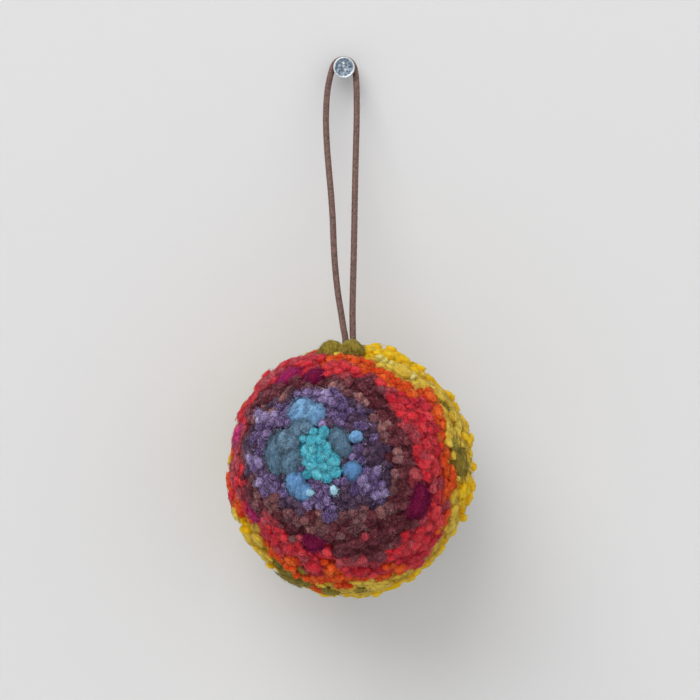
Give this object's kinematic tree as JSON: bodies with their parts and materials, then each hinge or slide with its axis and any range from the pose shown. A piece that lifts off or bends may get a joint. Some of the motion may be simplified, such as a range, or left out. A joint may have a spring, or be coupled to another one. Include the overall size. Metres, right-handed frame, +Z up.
{
  "type": "yarn pom pom with a hanging cord, on a nail",
  "caption": "Round pom pom of cut yarn in rings of colour, on a loop of waxed cord that hangs over a nail driven into a wall.",
  "frame": {"origin": "where the nail's axis meets the wall's surface", "axes": "+Z up, +Y into the wall along the nail, +X to the right of someone who looks at the pom pom on its wall"},
  "size_m": [0.077, 0.109, 0.1698],
  "materials": {
    "yarn": "soft cut wool, no gloss",
    "yarn_turquoise": "soft cut wool, no gloss",
    "yarn_blue": "soft cut wool, no gloss",
    "yarn_teal": "soft cut wool, no gloss",
    "yarn_purple": "soft cut wool, no gloss",
    "yarn_mauve": "soft cut wool, no gloss",
    "yarn_maroon": "soft cut wool, no gloss",
    "yarn_magenta": "soft cut wool, no gloss",
    "yarn_red": "soft cut wool, no gloss",
    "yarn_orange": "soft cut wool, no gloss",
    "yarn_chartreuse": "soft cut wool, no gloss",
    "yarn_yellow": "soft cut wool, no gloss",
    "yarn_olive": "soft cut wool, no gloss",
    "waxed_cord": "waxed cotton, low sheen",
    "zinc": "galvanised, mottled"
  },
  "bodies": {
    "root": {"yarn_ball": "yarn", "hanging_cord": "waxed_cord", "nail": "zinc"}
  },
  "joints": []
}
